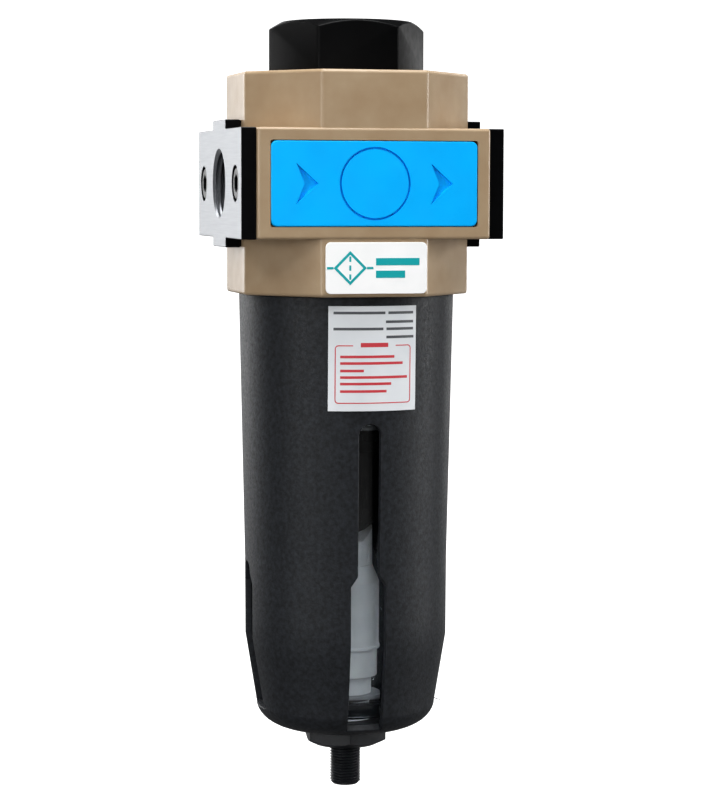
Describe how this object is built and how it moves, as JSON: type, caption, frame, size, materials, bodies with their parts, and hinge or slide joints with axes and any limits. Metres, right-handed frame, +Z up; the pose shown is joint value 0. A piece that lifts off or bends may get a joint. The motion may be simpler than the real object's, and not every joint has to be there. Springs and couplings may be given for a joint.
{
  "type": "compressed air filter",
  "caption": "Inline compressed air filter with an eight-sided cast head, screwed end plates with threaded ports, a guarded clear bowl, a hexagon top plug and a float drain with a threaded tail.",
  "frame": {"origin": "where the port axis crosses the bowl axis, at the middle of the head", "axes": "+X along the flow from inlet to outlet, +Z up the bowl axis towards the top plug, -Y out of the front panel"},
  "size_m": [0.0818, 0.0766, 0.243],
  "materials": {
    "cast_paint": "satin bronze-beige coating on a die casting",
    "plate_metal": "machined face, black coated edges",
    "black_steel": "black oxide",
    "seal_rubber": "matte black rubber",
    "blue_plastic": "semi-gloss moulded",
    "label_film": "satin film",
    "plug_plastic": "satin black moulded",
    "inner_plastic": "moulded",
    "cap_metal": "pressed aluminium",
    "bright_steel": "bright",
    "filter_paper": "pleated filter paper",
    "filter_foam": "fine open foam",
    "dark_plastic": "matte moulded",
    "clear_bowl": "clear polycarbonate",
    "guard_plastic": "fine spark-textured black",
    "pale_plastic": "moulded light grey",
    "nut_plastic": "satin black moulded",
    "float_plastic": "foamed moulding"
  },
  "bodies": {
    "head": {"head_body": "cast_paint", "inlet_plate": "plate_metal", "outlet_plate": "plate_metal", "inlet_plate_screws": "black_steel", "outlet_plate_screws": "black_steel", "inlet_oring": "seal_rubber", "outlet_oring": "seal_rubber", "front_panel": "blue_plastic", "rear_panel": "blue_plastic", "name_label": "label_film", "swirl_vanes": "inner_plastic", "element_gasket": "seal_rubber", "element_top_cap": "cap_metal", "element_core": "bright_steel", "element_media": "filter_paper", "element_sleeve": "filter_foam", "element_bottom_cap": "cap_metal", "tie_rod": "bright_steel", "baffle": "dark_plastic"},
    "plug_ring": {"top_plug_oring": "seal_rubber"},
    "plug": {"top_plug": "plug_plastic"},
    "bowl_ring": {"bowl_oring": "seal_rubber"},
    "bowl_unit": {"bowl": "clear_bowl", "bowl_guard": "guard_plastic", "rating_label": "label_film", "drain_cap": "pale_plastic", "drain_housing": "pale_plastic", "drain_washer": "seal_rubber", "drain_nut": "nut_plastic", "drain_spring": "bright_steel"},
    "drain_valve": {"drain_stem": "nut_plastic", "stem_seal": "seal_rubber"},
    "float_unit": {"drain_float": "float_plastic", "float_seal": "seal_rubber"}
  },
  "joints": [
    {"name": "plug_lift", "type": "slide", "parent": "head", "child": "plug_ring", "axis": [0, 0, 1], "range_m": [0, 0.00693]},
    {"name": "plug_turn", "type": "hinge", "parent": "plug_ring", "child": "plug", "pos_m": [0, 0, 0.0343], "axis": [0, 0, 1], "range_deg": [0, 1080]},
    {"name": "bowl_lift", "type": "slide", "parent": "head", "child": "bowl_ring", "axis": [0, 0, 1], "range_m": [-0.009, 0]},
    {"name": "bowl_turn", "type": "hinge", "parent": "bowl_ring", "child": "bowl_unit", "pos_m": [0, 0, -0.0343], "axis": [0, 0, 1], "range_deg": [-540, 0]},
    {"name": "drain_push", "type": "slide", "parent": "bowl_unit", "child": "drain_valve", "axis": [0, 0, 1], "range_m": [0, 0.003], "stiffness_N_per_m": 900, "springref_m": -0.004, "deforming": ["drain_spring"]},
    {"name": "float_rise", "type": "slide", "parent": "bowl_unit", "child": "float_unit", "axis": [0, 0, 1], "range_m": [0, 0.0055]}
  ],
  "couplings": [
    {"joint": "plug_lift", "follows": "plug_turn", "m_per_rad": 0.0003675},
    {"joint": "bowl_lift", "follows": "bowl_turn", "m_per_rad": 0.0009549}
  ]
}
